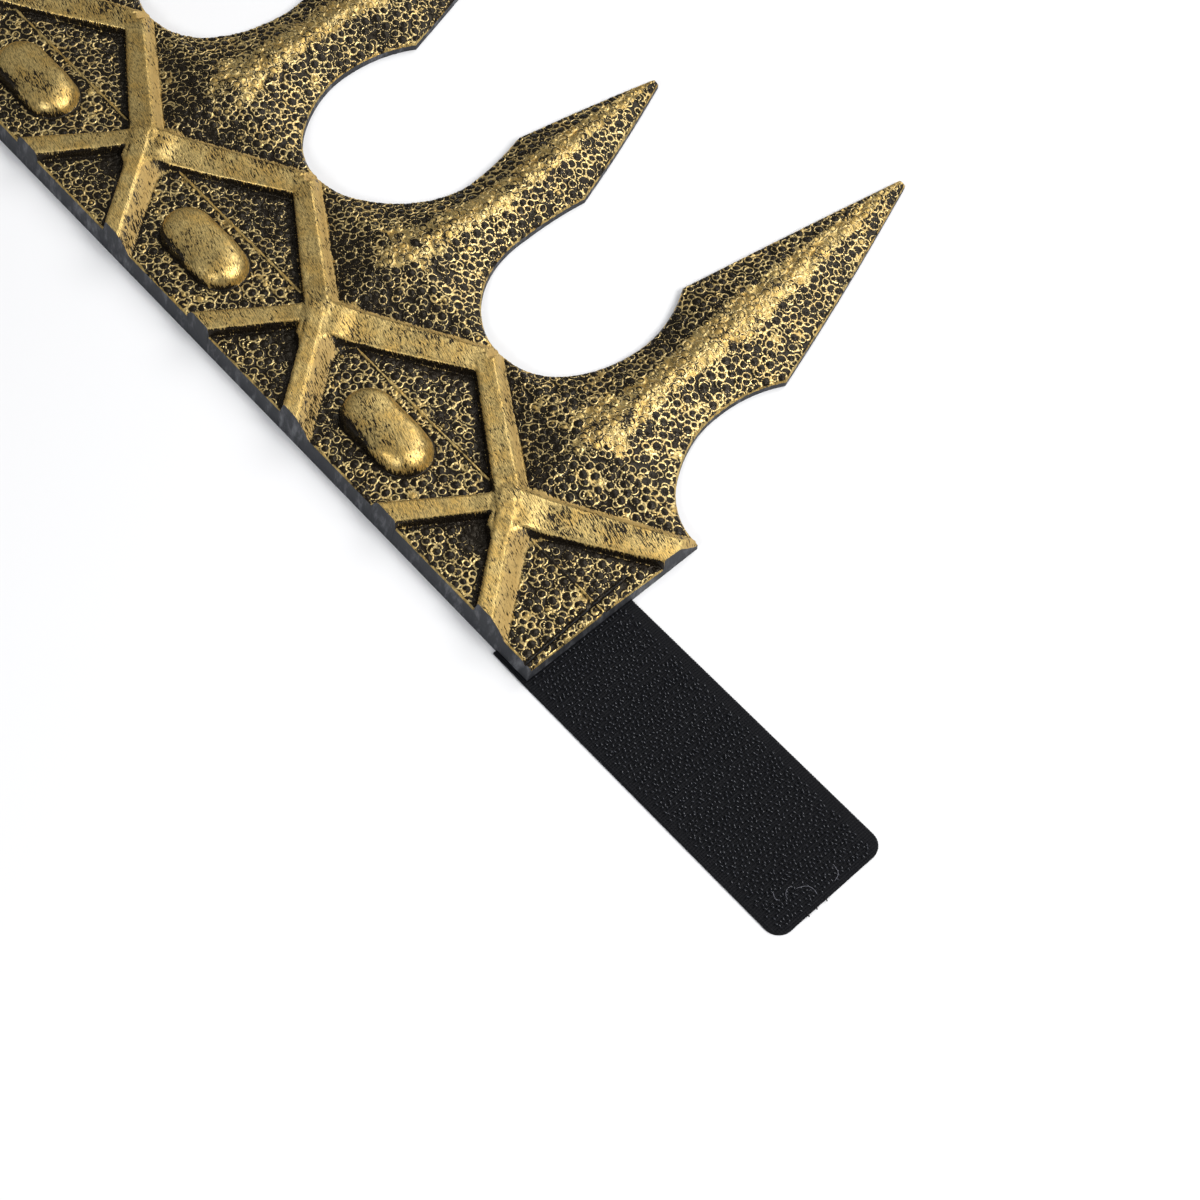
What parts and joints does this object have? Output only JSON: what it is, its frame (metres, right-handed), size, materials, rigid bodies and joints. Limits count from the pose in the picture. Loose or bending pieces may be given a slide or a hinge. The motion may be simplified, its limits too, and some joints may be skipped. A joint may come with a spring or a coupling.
{
  "type": "costume crown",
  "caption": "Costume crown of antiqued gold foam laid flat, with spearhead spikes over a trellis band and a hook tape strap at one end.",
  "frame": {"origin": "middle of the whole footprint, strap included, on the plane of the back", "axes": "+X along the band towards the hook strap, +Y from the band's bottom edge to the spike tips, +Z out of the gilded face"},
  "size_m": [0.6558, 0.1932, 0.0108],
  "materials": {
    "gilded_foam": "black moulded foam dry-brushed with metallic gold paint, satin; the edges and back are bare dark grey foam",
    "hook_tape": "black nylon hook tape with woven selvedges, semi-gloss hooks",
    "loop_tape": "black brushed loop tape, matt"
  },
  "bodies": {
    "root": {"crown_body": "gilded_foam", "hook_strap": "hook_tape", "loop_patch": "loop_tape"}
  },
  "joints": []
}
